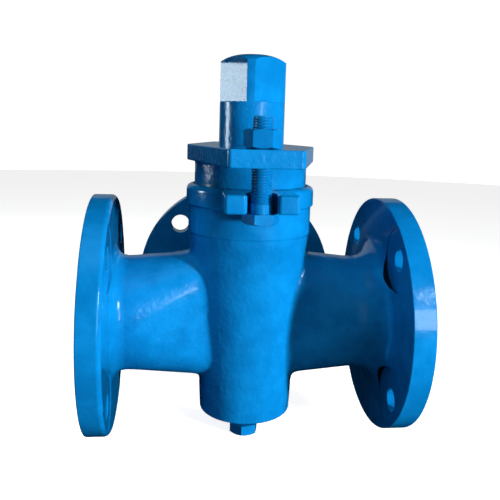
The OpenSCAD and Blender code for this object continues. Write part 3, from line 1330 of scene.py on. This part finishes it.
@dataclass
class Studio:
    """Floor, backdrop, lights and camera."""

    camera_place: Triple = (-59.7, -506.1, 155.7)
    yaw: float = 0.118
    pitch: float = -0.1188
    roll: float = 0.0282
    focal_share: float = 1.229
    shift_y: float = -0.1
    sensor: float = 36.0
    sweep_r: float = 6.0
    sweep_h: float = 7.0
    sweep_colour: Triple = (0.8, 0.8, 0.8)
    sweep_glow: float = 0.86
    room_glow: float = 0.15

    def _floor(self) -> None:
        """Makes a pale floor that sweeps up all round, kept out of the enamel's reflections."""
        low = LAYOUT.jack_bottom * MM
        bm = bmesh.new()
        places = ((0, 0, low), (self.sweep_r, 0, low), (self.sweep_r, 0, self.sweep_h))
        verts = [bm.verts.new(place) for place in places]
        for pair in zip(verts, verts[1:]):
            bm.edges.new(pair)
        round_corners(bm, verts, (0, self.sweep_r / 2, 0), steps=24)
        spin(bm, bm.verts[:] + bm.edges[:], steps=96)
        bmesh.ops.remove_doubles(bm, verts=bm.verts[:], dist=WELD_DISTANCE)
        mesh = bpy.data.meshes.new("sweep")
        bm.to_mesh(mesh)
        bm.free()
        mesh.shade_smooth()
        paint = Paint("pale_sweep")
        paint.set(Base_Color=(*self.sweep_colour, 1), Roughness=0.9, Specular_IOR_Level=0.0)
        paint.set(Emission_Color=(1, 1, 1, 1), Emission_Strength=self.sweep_glow)
        mesh.materials.append(paint.material)
        floor = add_object("sweep", mesh)
        floor.visible_diffuse = floor.visible_glossy = floor.visible_shadow = False
        floor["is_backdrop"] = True

    def _lights(self) -> None:
        """Hangs the soft lights and sets the room's own glow."""
        for light in (
            SoftBox("key", 50, 4, 1.7, 0.10, 0.12, 63, reflected=False),
            SoftBox("front_fill", 25, 10, 2.0, 1.4, 1.6, 11, reflected=False),
            SoftBox("top", -40, 72, 1.6, 1.2, 1.0, 13, reflected=False),
            SoftBox("left_top", -115, 32, 1.6, 0.6, 0.6, 4, reflected=False),
            SoftBox("left_window", -100.5, 2, 1.4, 0.34, 0.28, 3.6, lit=False, aim=(0, 0, 155)),
            SoftBox("neck_card", 40, 22.5, 1.3, 0.20, 0.22, 3.2, lit=False, aim=(-60, -38, 25)),
            SoftBox("rim_card", 23, 6.5, 1.3, 0.14, 0.42, 1.1, lit=False, aim=(125, -95, 20)),
            SoftBox("back_card", 175, 12, 2.0, 2.5, 1.0, 2.0, lit=False),
        ):
            light.build()
        world = bpy.data.worlds.new("studio")
        world.use_nodes = True
        background = world.node_tree.nodes["Background"]
        background.inputs["Color"].default_value = (0.93, 0.96, 1.0, 1)
        background.inputs["Strength"].default_value = self.room_glow
        world.cycles_visibility.glossy = False
        bpy.context.scene.world = world

    def _camera(self) -> None:
        """Sets the camera at the valve's front, a little to the left and above."""
        sy, cy = math.sin(self.yaw), math.cos(self.yaw)
        sp, cp = math.sin(self.pitch), math.cos(self.pitch)
        forward = Vector((sy * cp, cy * cp, sp))
        right = Vector((cy, -sy, 0))
        up = right.cross(forward)
        sr, cr = math.sin(self.roll), math.cos(self.roll)
        across, upward = right * cr + up * sr, up * cr - right * sr
        lens = bpy.data.cameras.new("camera")
        lens.sensor_width = self.sensor
        lens.lens = self.focal_share * self.sensor
        lens.shift_y = self.shift_y
        lens.clip_start = 0.01
        camera = add_object("camera", lens)
        camera.matrix_world = Matrix((across, upward, -forward)).transposed().to_4x4()
        camera.location = (Vector(self.camera_place) + Vector((LAYOUT.stem_x, 0, 0))) * MM
        bpy.context.scene.camera = camera

    def build(self) -> None:
        """Builds the studio."""
        self._floor()
        self._lights()
        self._camera()
        bpy.context.scene.view_settings.view_transform = "Standard"


def write_sizes() -> None:
    """Gathers the CAD model's box and the visual model's box."""
    boxes = {"cad": CAD_BOUNDS, "visual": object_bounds()}
    sizes = {name: [list(corner) for corner in box] for name, box in boxes.items()}


def main() -> None:
    """Builds the valve and its studio."""
    logging.basicConfig(level=logging.INFO, format="%(message)s")
    for part in (ValveBody, Plug, Gland, GlandFasteners, JackScrew, Packing):
        part().build()
        LOG.info("%s is built", part.__name__)
    Studio().build()
    write_sizes()


if __name__ == "__main__":
    main()
